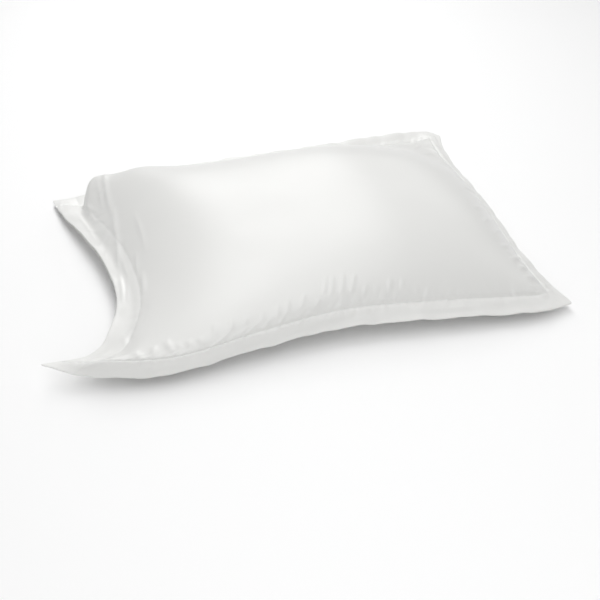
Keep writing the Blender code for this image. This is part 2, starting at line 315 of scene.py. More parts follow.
# The weave: how often its floats, slubs and broad patches follow each other, per metre
# along and across the panel, and the noise's detail.
FLOATS = (260.0, 1500.0, 1.0), 1.0
SLUBS = (16.0, 420.0, 1.0), 2.0
BLOOM = (9.0, 13.0, 1.0), 3.0
WEAVE_DEPTH = 0.00002  # of the weave, in metres
SATIN_BUMP, THREAD_BUMP = 0.5, 0.6  # strength of the weave's bump
SATIN_DARKEST, THREAD_DARKEST = 0.97, 0.9  # colour's share where the masks are lowest
SATIN_UNEVEN = 0.05  # how far the roughness goes up and down
THREAD_SMOOTHEST, THREAD_ROUGHEST = 0.5, 0.65
SATIN_SHEEN, SATIN_SHEEN_ROUGHNESS, SATIN_SPECULAR = 0.15, 0.4, 0.5
FLOOR_ROUGHNESS, FLOOR_SPECULAR = 0.9, 0.1

CASE_NAME = "filled_case"
FLOOR_DROP = -0.0003  # the floor lies a hair under the case

# A line of soft lamps from low behind the case, over it, to the front, with one on each side
# and one at the back corner of the sewn end.
LAMP_AIM = (0.0, 0.0, 0.05)
LAMP_SIZE = 1.0
LAMPS = (
    # name, place, power
    ("low_back", (0.0, 1.994, 0.930), 5.4),
    ("back", (0.0, 1.414, 1.685), 12.1),
    ("over_back", (0.0, 0.569, 2.125), 11.7),
    ("over_front", (0.0, -0.569, 2.125), 8.9),
    ("front", (0.0, -1.414, 1.685), 8.3),
    ("low_front", (0.0, -1.994, 0.930), 6.1),
    ("mouth_side", (-1.994, 0.0, 0.930), 3.2),
    ("end_side", (1.994, 0.0, 0.930), 2.5),
    ("back_corner", (1.410, 1.410, 0.930), 2.9),
)


def number_setting(name, description, default, **kind):
    """A number, with its unit or subtype where it has one."""
    return FloatProperty(name=name, description=description, default=default, **kind)


def length_setting(name, description, default):
    """A length in metres."""
    return number_setting(name, description, default, unit="LENGTH")


def colour_setting(name, description, default):
    """A colour, with its alpha."""
    return FloatVectorProperty(
        name=name,
        description=description,
        default=default,
        subtype="COLOR",
        size=4,
        min=0.0,
        max=1.0,
    )


class CaseSizes(bpy.types.PropertyGroup):
    """Cut sizes and filling of the case."""

    panel_length: length_setting(
        "Panel Length", "Cut length of one panel, mouth to sewn end", 0.762
    )
    panel_width: length_setting("Panel Width", "Cut width of one panel", 0.508)
    crown: length_setting("Crown", "How far the filling lifts the top panel over the rim", 0.091)
    belly_reach: length_setting(
        "Belly Reach", "From a seam in to where the under side lies flat", 0.110
    )
    flange_width: length_setting("Flange Width", "Flat sewn border outside the seam line", 0.026)
    flange_thickness: length_setting(
        "Flange Thickness", "Of the folded border's cloth together", 0.0022
    )
    hem_thickness: length_setting("Hem Thickness", "Of one hem at the mouth", 0.0018)
    hem_width: length_setting("Hem Width", "From the mouth's edge to the hem's stitches", 0.045)
    mouth_gap: length_setting("Mouth Gap", "Between the two hems, at the widest", 0.0036)
    mouth_depth: length_setting("Mouth Depth", "How far the gap between the hems runs in", 0.034)


class ClothSettings(bpy.types.PropertyGroup):
    """How the cloth relaxes over its filling."""

    cell: length_setting("Cell", "Size of one cell of the relaxing cloth", 0.0058)
    frames: IntProperty(name="Frames", description="Steps of the relaxing cloth", default=20)
    quality: IntProperty(name="Quality", description="Steps within a frame", default=5)
    pressure: number_setting("Pressure", "Of the filling on the cloth", 0.35)
    stiffness: number_setting("Stiffness", "Of the cloth against stretching", 30.0)
    bending: number_setting("Bending", "Stiffness of the cloth against bending", 0.2)
    furthest: length_setting(
        "Furthest Move", "How far a point may move while the cloth relaxes", 0.012
    )


class SatinFinish(bpy.types.PropertyGroup):
    """Colour and gloss of the satin."""

    colour: colour_setting("Colour", "Of the satin", (0.785, 0.785, 0.768, 1.0))
    # Lighter partly because doubled satin is more opaque, and partly as painted light on the hem
    # and the border.
    doubled_and_painted_light_colour: colour_setting(
        "Doubled And Painted Light Colour",
        "Of the satin where it is doubled, in the hem and the border",
        (0.848, 0.848, 0.830, 1.0),
    )
    roughness: number_setting("Roughness", "Of the satin's face", 0.38, subtype="FACTOR")
    thread_colour: colour_setting("Thread Colour", "Of the sewing thread", (0.82, 0.82, 0.82, 1.0))


class StitchSettings(bpy.types.PropertyGroup):
    """Sewing thread and its stitches."""

    thread: length_setting("Thread", "Thickness of the sewing thread", 0.0004)
    pitch: length_setting("Pitch", "From one stitch to the next", 0.0028)


class StageSettings(bpy.types.PropertyGroup):
    """Floor, light and camera."""

    floor_colour: colour_setting("Floor Colour", "Of the pale floor", (0.96, 0.96, 0.96, 1.0))
    floor_size: length_setting("Floor Size", "Of the square floor", 9.0)
    sky: number_setting("Sky", "Strength of the even light from all sides", 0.20)
    camera_place: FloatVectorProperty(
        name="Camera Place",
        description="Where the camera stands",
        subtype="TRANSLATION",
        unit="LENGTH",
        default=(-0.2273, -1.0648, 0.7725),
    )
    camera_turn: number_setting(
        "Camera Turn", "How far round the case it stands", math.radians(-13.28), subtype="ANGLE"
    )
    camera_tilt: number_setting(
        "Camera Tilt", "How far it looks down", math.radians(38.67), subtype="ANGLE"
    )
    lens: number_setting("Lens", "Focal length in millimetres", 50.0)


def clamp(value):
    """The value, kept between 0 and 1."""
    return min(max(value, 0.0), 1.0)


def smooth(value):
    """An S-shaped step from 0 to 1."""
    value = clamp(value)
    return value * value * (3.0 - 2.0 * value)


def eased(value):
    """A rise from 0 to 1 that levels off."""
    return 1.0 - (1.0 - clamp(value)) ** 2


def through(values, t):
    """A smooth curve through three values, at t from 0 to 1."""
    first, middle, last = values
    ends = first * (1.0 - t) * (1.0 - 2.0 * t) + last * t * (2.0 * t - 1.0)
    return ends + middle * 4.0 * t * (1.0 - t)


# The rim


def slope_at(rows, i):
    """Tangent of an edge table at row i, per unit of its first column."""
    low, high = max(i - 1, 0), min(i + 1, len(rows) - 1)
    return (Vector(rows[high][1:]) - Vector(rows[low][1:])) / (rows[high][0] - rows[low][0])


@lru_cache(maxsize=None)
def edge_point(rows, along):
    """Point of an edge table at a share of its length, on a smooth curve."""
    i = max(k for k in range(len(rows) - 1) if rows[k][0] <= along)
    span = rows[i + 1][0] - rows[i][0]
    t = (along - rows[i][0]) / span
    start, end = Vector(rows[i][1:]), Vector(rows[i + 1][1:])
    leaving, arriving = slope_at(rows, i) * span, slope_at(rows, i + 1) * span
    return (
        start * (2 * t**3 - 3 * t**2 + 1)
        + leaving * (t**3 - 2 * t**2 + t)
        + end * (3 * t**2 - 2 * t**3)
        + arriving * (t**3 - t**2)
    )


def rim_point(u, v):
    """Point of the sheet spanned by the four edges. u runs along X and v along Y."""
    along_x = edge_point(FRONT_EDGE, u).lerp(edge_point(BACK_EDGE, u), v)
    along_y = edge_point(MOUTH_EDGE, v).lerp(edge_point(SEWN_END, v), u)
    front = edge_point(FRONT_EDGE, 0.0).lerp(edge_point(FRONT_EDGE, 1.0), u)
    back = edge_point(BACK_EDGE, 0.0).lerp(edge_point(BACK_EDGE, 1.0), u)
    return along_x + along_y - front.lerp(back, v)


def side_length(sizes, side):
    """Cut length of a side of the panel."""
    return sizes.panel_width if side in ("mouth", "end") else sizes.panel_length


def from_side(sizes, side, u, v):
    """Share along a side, and cloth length in from it, of the point at u, v."""
    if side in ("front", "back"):
        return u, (v if side == "front" else 1.0 - v) * sizes.panel_width
    return v, (u if side == "mouth" else 1.0 - u) * sizes.panel_length


# The filling


def rise_from(side, along, share, border):
    """Height share of the filling at a share of the panel in from one side."""
    reach, first, last = RISE[side]
    fullness = first + (last - first) * smooth(along)
    low, high = RISE_START**fullness, (1.0 + RISE_START) ** fullness
    rise = eased((share - border) / (reach - border))
    return ((rise + RISE_START) ** fullness - low) / (high - low)


def mouth_border(v):
    """Share of the panel's length that lies empty inside the mouth."""
    return MOUTH_BORDER + FRONT_EAR * (1.0 - v) ** EAR_POWER + BACK_EAR * v**EAR_POWER


def seam_lift(sizes, u, v):
    """How far the seams lift the cloth over the plain sheet between the edges."""
    lift = 0.0
    for side, lifts in LIFT.items():
        along, inward = from_side(sizes, side, u, v)
        most = through(lifts, along) * smooth(min(along, 1.0 - along) / LIFT_ENDS)
        lift += most * smooth(inward / sizes.flange_width) * (1.0 - smooth(inward / LIFT_FADE))
    return lift


def ruffle(sizes, u, v):
    """How far the border waves over or under its place."""
    total = 0.0
    for number, side in enumerate(SIDES):
        along, inward = from_side(sizes, side, u, v)
        if inward < sizes.flange_width:
            length = side_length(sizes, side)
            ends = smooth(min(along, 1.0 - along) / RUFFLE_ENDS)
            wave = sum(
                height * math.sin(2.0 * math.pi * (along * length / pitch + RUFFLE_SHIFT * number))
                for pitch, height in RUFFLE_WAVES
            )
            total += wave * ends * (1.0 - smooth(inward / sizes.flange_width))
    return total


def fill_share(sizes, u, v):
    """Height of the filling at u, v, from 0 on the seams to 1 at the crown."""
    seam_u = sizes.flange_width / sizes.panel_length
    seam_v = sizes.flange_width / sizes.panel_width
    return (
        rise_from("front", u, v, seam_v)
        * rise_from("back", u, 1.0 - v, seam_v)
        * rise_from("mouth", v, u, mouth_border(v))
        * rise_from("end", v, 1.0 - u, seam_u)
    )


def unevenness(u, v):
    """Share of the crown's height that the filling has at u, v, about 1."""
    share = 1.0
    for long_waves, wide_waves, change in UNEVEN:
        share += change * math.cos(math.pi * long_waves * u) * math.cos(math.pi * wide_waves * v)
    return share


def swell_height(x, y):
    """Added height of the swells at a plan position."""
    height = 0.0
    for centre_x, centre_y, radius_x, radius_y, peak in SWELLS:
        far = ((x - centre_x) / radius_x) ** 2 + ((y - centre_y) / radius_y) ** 2
        height += peak * math.exp(-far)
    return height


def mouth_share(u, v):
    """1 at the middle of the mouth, falling to 0 at its ends and away from it."""
    t = clamp((v - MOUTH_START) / (MOUTH_END - MOUTH_START))
    return (t * (1.0 - t) * 4.0) ** MOUTH_ROUND * (1.0 - smooth(u / MOUTH_FADE))


def half_thickness(sizes, u, v):
    """Half of the cloth's thickness at the rim: sewn flange, or two hems and their gap."""
    sewn = sizes.flange_thickness / 2
    open_half = sizes.hem_thickness + sizes.mouth_gap / 2
    return sewn + (open_half - sewn) * mouth_share(u, v)


def top_height(sizes, u, v, sheet):
    """Height of the upper surface."""
    fill = fill_share(sizes, u, v)
    swell = swell_height(sheet.x, sheet.y) * smooth(fill / SWELL_START)
    crown = sizes.crown * fill * unevenness(u, v)
    return sheet.z + half_thickness(sizes, u, v) + crown + swell


def bottom_height(sizes, u, v, sheet):
    """Height of the under surface. It is exactly 0 over the patch that it rests on."""
    share = 1.0
    for side in SIDES:
        inward = from_side(sizes, side, u, v)[1]
        share *= eased((inward - sizes.flange_width) / sizes.belly_reach)
    return (sheet.z - half_thickness(sizes, u, v)) * (1.0 - share)


# The case's mesh


def put_in_scene(name, data):
    """A new object of the scene, made of this data."""
    made = bpy.data.objects.new(name, data)
    bpy.context.scene.collection.objects.link(made)
    return made


def spread_lines(cut_length, seams, cell):
    """Shares of a panel's length where the cell lines lie, with one on each side of a seam."""
    stops = [0.0, cut_length]
    for seam in seams:
        stops += [seam - SEAM_HALF, seam, seam + SEAM_HALF]
    stops.sort()
    lines = [0.0]
    for start, end in zip(stops, stops[1:]):
        count = max(1, round((end - start) / cell))
        lines += [start + (end - start) * (k + 1) / count for k in range(count)]
    return [line / cut_length for line in lines]


class CasePlan:
    """Corners and faces of the case before it relaxes, with where each corner was cut."""

    def __init__(self, sizes, cell):
        flange = sizes.flange_width
        self.sizes = sizes
        self.long_lines = spread_lines(
            sizes.panel_length, (sizes.hem_width, sizes.panel_length - flange), cell
        )
        self.wide_lines = spread_lines(
            sizes.panel_width, (flange, sizes.panel_width - flange), cell
        )
        self.index = {}
        self.points, self.cut, self.faces = [], [], []
        self.add_panels()
        self.add_walls()

    def corner(self, layer, i, j, depth=0):
        """Number of the corner of a layer at cell lines i and j, or that deep in the mouth."""
        key = (layer, i, j, depth)
        if key not in self.index:
            self.index[key] = len(self.points)
            u, v = self.long_lines[i], self.wide_lines[j]
            self.points.append(self.place(layer, u, v, depth))
            self.cut.append((u, v, SHOWING[layer]))
        return self.index[key]

    def sheet(self, u, v):
        """Middle of the cloth at u, v, with the seams' lift and the border's ruffle."""
        point = rim_point(u, v)
        point.z += seam_lift(self.sizes, u, v) + ruffle(self.sizes, u, v)
        return point

    def place(self, layer, u, v, depth):
        """Where a corner goes before the cloth relaxes."""
        sizes = self.sizes
        sheet = self.sheet(u, v)
        if layer == "top":
            return sheet.x, sheet.y, top_height(sizes, u, v, sheet)
        if layer == "under":
            return sheet.x, sheet.y, bottom_height(sizes, u, v, sheet)
        gap = max(sizes.mouth_gap * mouth_share(u, v), sizes.flange_thickness / LAYERS)
        if depth:
            sheet = self.sheet_inside(v, depth / MOUTH_CELLS * sizes.mouth_depth)
            gap += (MOUTH_INNER_GAP - gap) * depth / MOUTH_CELLS
        up = 1.0 if layer == "upper" else -1.0
        return sheet.x, sheet.y, sheet.z + up * gap / 2

    def sheet_inside(self, v, inward):
        """Middle of the cloth at a distance in from the mouth."""
        share = inward / self.sizes.panel_length
        i = max(k for k, line in enumerate(self.long_lines) if line <= share)
        low, high = self.long_lines[i], self.long_lines[i + 1]
        return self.sheet(low, v).lerp(self.sheet(high, v), (share - low) / (high - low))

    def add_panels(self):
        """The upper and the under panel."""
        for i in range(len(self.long_lines) - 1):
            for j in range(len(self.wide_lines) - 1):
                around = ((i, j), (i + 1, j), (i + 1, j + 1), (i, j + 1))
                self.faces.append([self.corner("top", *spot) for spot in around])
                self.faces.append([self.corner("under", *spot) for spot in around[::-1]])

    def rim_spots(self):
        """Cell lines of the rim's corners, once round and back to the first."""
        last_i, last_j = len(self.long_lines) - 1, len(self.wide_lines) - 1
        spots = [(i, 0) for i in range(last_i)]
        spots += [(last_i, j) for j in range(last_j)]
        spots += [(i, last_j) for i in range(last_i, 0, -1)]
        spots += [(0, j) for j in range(last_j, 0, -1)]
        return spots + spots[:1]

    def is_open(self, one, other):
        """Whether the mouth is open between two neighbouring corners of the rim."""
        return one[0] == other[0] == 0 and all(
            MOUTH_START < self.wide_lines[spot[1]] < MOUTH_END for spot in (one, other)
        )

    def add_walls(self):
        """The rim's wall, three layers high, and the pocket between the two hems."""
        spots = self.rim_spots()
        open_spots = []
        for one, other in zip(spots, spots[1:]):
            for low, high in (("under", "lower"), ("lower", "upper"), ("upper", "top")):
                if low == "lower" and self.is_open(one, other):
                    open_spots.append((one, other))
                    continue
                self.add_wall(low, high, one, other, 0)
        for one, other in open_spots:
            self.add_wall("lower", "upper", one, other, MOUTH_CELLS)
            for depth in range(MOUTH_CELLS):
                for layer in ("upper", "lower"):
                    around = ((one, depth), (other, depth), (other, depth + 1), (one, depth + 1))
                    self.faces.append([self.corner(layer, *s, d) for s, d in around])
        for spot in (open_spots[0][0], open_spots[-1][1]):
            for depth in range(MOUTH_CELLS):
                inner = depth + 1
                around = (("lower", depth), ("lower", inner), ("upper", inner), ("upper", depth))
                self.faces.append([self.corner(layer, *spot, d) for layer, d in around])

    def add_wall(self, low, high, one, other, depth):
        """One face of the rim's wall between two layers."""
        around = ((low, one), (low, other), (high, other), (high, one))
        self.faces.append([self.corner(layer, *spot, depth) for layer, spot in around])


def plan_object(plan):
    """The planned case as an object, with each corner's place in the cut panels."""
    data = bpy.data.meshes.new(CASE_NAME)
    data.from_pydata(plan.points, [], plan.faces)
    for place, name in enumerate(MARKS):
        marks = data.attributes.new(name, "FLOAT", "POINT")
        marks.data.foreach_set("value", [cut[place] for cut in plan.cut])
    mesh = bmesh.new()
    mesh.from_mesh(data)
    bmesh.ops.recalc_face_normals(mesh, faces=mesh.faces)
    mesh.to_mesh(data)
    mesh.free()
    return put_in_scene(CASE_NAME, data)


def marks_of(case):
    """Where each corner of the case was cut: shares u and v, and the panel it is on."""
    layers = [case.data.attributes[name].data for name in MARKS]
    return [tuple(entry.value for entry in row) for row in zip(*layers)]


def lay_in_frame(case):
    """Move the case so that it lies over the packed part's middle."""
    low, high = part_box(CAD_NODE)
    for axis in (0, 1):
        places = [corner.co[axis] for corner in case.data.vertices]
        shift = (low[axis] + high[axis] - min(places) - max(places)) / 2
        for corner in case.data.vertices:
            corner.co[axis] += shift


# The relaxed cloth


def spare_cloth(sizes, u, v):
    """Share by which the cloth at u, v is longer than the place it was sewn to."""
    spare = 0.0
    for side, first, last, reach, most in LOOSE_CLOTH:
        along, inward = from_side(sizes, side, u, v)
        t = (along - first) / (last - first)
        if 0.0 < t < 1.0 and inward < reach:
            fade = (1.0 - smooth(inward / reach)) * math.sin(math.pi * t) ** SPARE_ROUND
            spare = max(spare, most * fade)
    return spare


def hold_share(sizes, u, v, showing, height):
    """How firmly a corner is held while the cloth relaxes, from 0 to 1."""
    if not showing or (showing < 0 and height < RESTING):
        return 1.0
    seams = [from_side(sizes, side, u, v)[1] - sizes.flange_width for side in SEWN]
    seams.append(from_side(sizes, "mouth", u, v)[1] - MOUTH_HELD)
    return 1.0 - smooth(min(seams) / HOLD_FADE)


def weigh(case, name, weights):
    """Give the case a vertex group with a weight for each corner."""
    group = case.vertex_groups.new(name=name)
    for number, weight in enumerate(weights):
        if weight > 0.0:
            group.add([number], weight, "REPLACE")


def relax(case, sizes, cloth):
    """Let the cloth settle under the filling's pressure, and keep its shape."""
    marks = marks_of(case)
    start = [corner.co.copy() for corner in case.data.vertices]
    held = [hold_share(sizes, *mark, point.z) for mark, point in zip(marks, start)]
    spare = [spare_cloth(sizes, u, v) if showing else 0.0 for u, v, showing in marks]
    weigh(case, "held", held)
    weigh(case, "spare", [share / MOST_SPARE for share in spare])
    modifier = case.modifiers.new("Cloth", "CLOTH")
    settings = modifier.settings
    for name, value in (
        ("quality", cloth.quality),
        ("mass", CLOTH_MASS),
        ("tension_stiffness", cloth.stiffness),
        ("compression_stiffness", cloth.stiffness),
        ("shear_stiffness", cloth.stiffness / SHEAR_SHARE),
        ("bending_stiffness", cloth.bending),
        ("tension_damping", CLOTH_DAMPING),
        ("compression_damping", CLOTH_DAMPING),
        ("shear_damping", CLOTH_DAMPING),
        ("air_damping", AIR_DAMPING),
        ("use_pressure", True),
        ("uniform_pressure_force", cloth.pressure),
        ("vertex_group_mass", "held"),
        ("pin_stiffness", 1.0),
        ("vertex_group_shrink", "spare"),
        ("shrink_min", 0.0),
        ("shrink_max", -MOST_SPARE),
    ):
        setattr(settings, name, value)
    settings.effector_weights.gravity = 0.0
    modifier.collision_settings.use_collision = False
    modifier.collision_settings.use_self_collision = False
    modifier.point_cache.frame_start = 1
    modifier.point_cache.frame_end = cloth.frames
    scene = bpy.context.scene
    for number in range(1, cloth.frames + 1):
        scene.frame_set(number)
    settled = case.evaluated_get(bpy.context.evaluated_depsgraph_get()).data
    ends = [corner.co.copy() for corner in settled.vertices]
    case.modifiers.remove(modifier)
    for corner, begin, end, hold in zip(case.data.vertices, start, ends, held):
        step = end - begin
        if step.length > cloth.furthest:
            step.length = cloth.furthest
        corner.co = begin + step * (1.0 - hold)
        corner.co.z = max(corner.co.z, 0.0)
    scene.frame_set(1)


def refine(case):
    """Divide each face in four and round the cloth's edges."""
    modifier = case.modifiers.new("Subdivision", "SUBSURF")
    modifier.levels = modifier.render_levels = 1
    bpy.context.view_layer.objects.active = case
    bpy.ops.object.modifier_apply(modifier=modifier.name)


def dissolve_patch(case):
    """Make one face of the flat patch that the case rests on."""
    mesh = bmesh.new()
    mesh.from_mesh(case.data)
    resting = [f for f in mesh.faces if all(corner.co.z < FLAT for corner in f.verts)]
    bmesh.ops.dissolve_faces(mesh, faces=resting, use_verts=False)
    mesh.to_mesh(case.data)
    mesh.free()


def fold_height(sizes, u, v):
    """Height of the single folds at u, v."""
    x, y = u * sizes.panel_length, v * sizes.panel_width
    height = 0.0
    for start_x, start_y, end_x, end_y, width, ridge in FOLDS:
        margin = RIDGE_END * width
        if not min(start_x, end_x) - margin < x < max(start_x, end_x) + margin:
            continue
        run_x, run_y = end_x - start_x, end_y - start_y
        t = ((x - start_x) * run_x + (y - start_y) * run_y) / (run_x**2 + run_y**2)
        if 0.0 < t < 1.0:
            away = math.hypot(x - start_x - t * run_x, y - start_y - t * run_y) / width
            height += ridge * math.exp(-away * away) * math.sin(math.pi * t) ** FOLD_ROUND
    return height


class Gathers:
    """Small uneven gathers along one row of stitches, which take the cloth up."""

    def __init__(self, sizes, row, seed):
        draw = random.Random(seed)
        self.side = row[0]
        self.length = side_length(sizes, self.side)
        self.line = sizes.hem_width if self.side == "mouth" else sizes.flange_width
        self.furthest = row[4]
        self.folds = []
        place = 0.0
        while place < self.length:
            pitch = draw.uniform(row[1], row[2])
            place += pitch
            reach, height = draw.uniform(row[3], row[4]), draw.uniform(row[5], row[6])
            slant = draw.uniform(-GATHER_SLANT, GATHER_SLANT)
            self.folds.append((place, pitch * GATHER_WIDTH, reach, height, slant))

    def height(self, sizes, u, v):
        """Height of the gathers at u, v."""
        along, inward = from_side(sizes, self.side, u, v)
        inward -= self.line
        if not -GATHER_BACK * self.line < inward < self.furthest:
            return 0.0
        along *= self.length
        total = 0.0
        for place, width, reach, height, slant in self.folds:
            far = (along - place - slant * inward) / width
            if abs(far) < RIDGE_END and inward < reach:
                inside = inward / reach if inward > 0.0 else -inward / (GATHER_BACK * self.line)
                total += height * math.exp(-far * far) * (1.0 - smooth(inside))
        return total


def seam_dip(sizes, u, v):
    """Depth of the grooves that the seam's and the hem's stitches pull in."""
    inward = [from_side(sizes, side, u, v)[1] for side in SEWN]
    rows = [(from_side(sizes, "mouth", u, v)[1] - sizes.hem_width, HEM_DIP)]
    if min(inward) > SEAM_CROSSING * sizes.flange_width:
        rows += [(place - sizes.flange_width, SEAM_DIP) for place in inward]
    return max(most * math.exp(-((away / SEAM_HALF) ** 2)) for away, most in rows)


def gather_cloth(case, sizes):
    """Move the case's corners along their normals for gathers, folds and grooves."""
    gathers = [Gathers(sizes, row, seed) for seed, row in enumerate(GATHER_ROWS)]
    normals = [corner.normal.copy() for corner in case.data.vertices]
    for corner, normal, (u, v, showing) in zip(case.data.vertices, normals, marks_of(case)):
        if abs(showing) < ON_PANEL:
            continue
        lift = sum(row.height(sizes, u, v) for row in gathers) - seam_dip(sizes, u, v)
        if showing > 0.0:
            lift += fold_height(sizes, u, v)
        elif corner.co.z < RESTING:
            continue
        corner.co += normal * lift
        corner.co.z = max(corner.co.z, 0.0)
    case.data.update()


# Stitches


def seam_path(case, sizes, side, showing):
    """The corners of the case along a seam, in order, as points with their normals."""
    seam_u = sizes.flange_width / sizes.panel_length
    seam_v = sizes.flange_width / sizes.panel_width
    across, line, least, most = {
        # side: the mark that stays the same, its value, and the other's range
        "mouth": (0, sizes.hem_width / sizes.panel_length, 0.0, 1.0),
        "end": (0, 1.0 - seam_u, seam_v, 1.0 - seam_v),
        "front": (1, seam_v, 0.0, 1.0 - seam_u),
        "back": (1, 1.0 - seam_v, 0.0, 1.0 - seam_u),
    }[side]
    found = [
        (mark[1 - across], corner.co.copy(), corner.normal.copy())
        for corner, mark in zip(case.data.vertices, marks_of(case))
        if abs(mark[across] - line) < ON_LINE
        and mark[2] * showing > ON_PANEL
        and least - ON_LINE <= mark[1 - across] <= most + ON_LINE
    ]
    found.sort(key=lambda entry: entry[0])
    return [(point, normal) for _, point, normal in found]


def walk(path, pitch):
    """Points and normals at equal steps along a path."""
    spots, carried = [], 0.0
    for (start, start_normal), (end, end_normal) in zip(path, path[1:]):
        length = (end - start).length
        while carried < length:
            t = carried / length
            spots.append((start.lerp(end, t), start_normal.lerp(end_normal, t).normalized()))
            carried += pitch
        carried -= length
    return spots


def add_stitch(mesh, start, end, normal, thread):
    """One stitch: a short thread that bows over the cloth and dips in at both ends."""
    along = (end - start).normalized()
    aside = along.cross(normal).normalized()
    rings = []
    for k in range(STITCH_RINGS):
        t = k / (STITCH_RINGS - 1)
        rise = thread * (STITCH_BOW * math.sin(math.pi * t) - STITCH_SINK)
        middle = start.lerp(end, t) + normal * rise
        radius = thread / 2 * (STITCH_END + (1.0 - STITCH_END) * math.sin(math.pi * t))
        ring = []
        for side in range(STITCH_SIDES):
            turn = 2.0 * math.pi * side / STITCH_SIDES
            out = aside * math.cos(turn) + normal * math.sin(turn)
            ring.append(mesh.verts.new(middle + out * radius))
        rings.append(ring)
    for ring, following in zip(rings, rings[1:]):
        for side in range(STITCH_SIDES):
            other = (side + 1) % STITCH_SIDES
            mesh.faces.new((ring[side], ring[other], following[other], following[side]))
    mesh.faces.new(rings[0][::-1])
    mesh.faces.new(rings[-1])


def stitch_object(name, paths, stitch, material):
    """Rows of stitches along paths, as one object."""
    mesh = bmesh.new()
    for path in paths:
        spots = walk(path, stitch.pitch)
        for (start, normal), (end, _) in zip(spots, spots[1:]):
            reach = (end - start) * STITCH_SHARE
            add_stitch(mesh, start, start + reach, normal, stitch.thread)
    bmesh.ops.recalc_face_normals(mesh, faces=mesh.faces)
    data = bpy.data.meshes.new(name)
    mesh.to_mesh(data)
    mesh.free()
    data.shade_smooth()
    data.materials.append(material)
    return put_in_scene(name, data)


# Materials


def connect(tree, node, inputs):
    """Set a node's inputs to plain values, or link them to sockets."""
    for key, value in inputs.items():
        if isinstance(value, bpy.types.NodeSocket):
            tree.links.new(value, node.inputs[key])
        else:
            node.inputs[key].default_value = value


def add_node(tree, kind, inputs=None, **settings):
    """A new shader node with its settings and inputs."""
    node = tree.nodes.new("ShaderNode" + kind)
    for name, value in settings.items():
        setattr(node, name, value)
    connect(tree, node, inputs or {})
    return node


def calculate(tree, operation, first, second):
    """A maths node. Its inputs are sockets or numbers. Returns its output."""
    return add_node(tree, "Math", {0: first, 1: second}, operation=operation).outputs[0]


def stretched_noise(tree, place, stretch, detail):
    """Noise that is drawn out along the cloth. Returns its output, from 0 to 1."""
    mapping = add_node(tree, "VectorMath", {0: place, 1: stretch}, operation="MULTIPLY")
    inputs = {"Vector": mapping.outputs[0], "Scale": 1.0, "Detail": detail}
    return add_node(tree, "TexNoise", inputs).outputs["Fac"]


def cut_mark(tree, name):
    """Where a point of the case was cut, as a share of its panel. Returns its output."""
    return add_node(tree, "Attribute", attribute_name=name).outputs["Fac"]


def cloth_place(tree):
    """Where a point of the case was cut, in metres along and across its panel."""
    sizes = bpy.context.scene.pillowcase_sizes
    along = calculate(tree, "MULTIPLY", cut_mark(tree, "cut_u"), sizes.panel_length)
    across = calculate(tree, "MULTIPLY", cut_mark(tree, "cut_v"), sizes.panel_width)
    return add_node(tree, "CombineXYZ", {"X": along, "Y": across}).outputs[0]


def weave_group():
    """The floats and slubs of a satin weave: a height in metres and two uneven masks."""
    group = bpy.data.node_groups.new("satin_weave", "ShaderNodeTree")
    group.interface.new_socket("Place", in_out="INPUT", socket_type="NodeSocketVector")
    group.interface.new_socket("Depth", in_out="INPUT", socket_type="NodeSocketFloat")
    for name in ("Height", "Slub", "Bloom"):
        group.interface.new_socket(name, in_out="OUTPUT", socket_type="NodeSocketFloat")
    given = group.nodes.new("NodeGroupInput").outputs
    looks = FLOATS, SLUBS, BLOOM
    floats, slubs, bloom = (stretched_noise(group, given["Place"], *look) for look in looks)
    height = calculate(group, "ADD", floats, slubs)
    height = calculate(group, "MULTIPLY", height, given["Depth"])
    result = group.nodes.new("NodeGroupOutput")
    connect(group, result, {"Height": height, "Slub": slubs, "Bloom": bloom})
    return group


def blended(tree, mask, low, high):
    """A value between low and high, by a mask from 0 to 1."""
    return calculate(tree, "ADD", calculate(tree, "MULTIPLY", mask, high - low), low)


def mixed(tree, mask, low, high):
    """A colour between low and high, by a mask from 0 to 1. They are sockets or colours."""
    inputs = {"Factor": mask, "A": low, "B": high}
    return add_node(tree, "Mix", inputs, data_type="RGBA").outputs["Result"]


def shaded(tree, colour, mask, darkest):
    """A colour that is a little darker where a mask is low."""
    return mixed(tree, mask, [part * darkest for part in colour[:3]] + [1.0], colour)


def doubled_and_painted_light_mask(tree):
    """A mask of the hem and of the border beyond the seams, where the satin takes its lighter
    colour, partly for the doubled cloth and partly as painted light. Returns its output.
    """
    sizes = bpy.context.scene.pillowcase_sizes
    length, width = sizes.panel_length, sizes.panel_width
    hem, seam = sizes.hem_width, sizes.flange_width
    mask = 0.0
    for name, start, whole, strength in (
        # mark, where the border starts, where it is whole, and its strength
        ("cut_u", (hem + SEAM_HALF) / length, (hem - SEAM_HALF) / length, 1.0),
        ("cut_u", 1.0 - (seam + SEAM_HALF) / length, 1.0 - seam / length, BORDER_DOUBLED_AND_PAINTED_LIGHT),
        ("cut_v", (seam + SEAM_HALF) / width, seam / width, BORDER_DOUBLED_AND_PAINTED_LIGHT),
        ("cut_v", 1.0 - (seam + SEAM_HALF) / width, 1.0 - seam / width, BORDER_DOUBLED_AND_PAINTED_LIGHT),
    ):
        step = {"Value": cut_mark(tree, name), "From Min": start, "From Max": whole}
        step = add_node(tree, "MapRange", {**step, "To Max": strength}).outputs["Result"]
        mask = calculate(tree, "MAXIMUM", step, mask)
    return mask


def node_material(name):
    """A new material. Returns it, its node tree and its shader."""
    material = bpy.data.materials.new(name)
    material.use_nodes = True
    return material, material.node_tree, material.node_tree.nodes["Principled BSDF"]


def woven_material(name, weave, place_of, bump_strength):
    """A material with the weave and its bump. Returns it, its shader and the weave's node."""
    material, tree, shader = node_material(name)
    inputs = {"Place": place_of(tree), "Depth": WEAVE_DEPTH}
    woven = add_node(tree, "Group", inputs, node_tree=weave)
    bump = {"Distance": 1.0, "Strength": bump_strength, "Height": woven.outputs["Height"]}
    connect(tree, shader, {"Normal": add_node(tree, "Bump", bump).outputs["Normal"]})
    return material, shader, woven


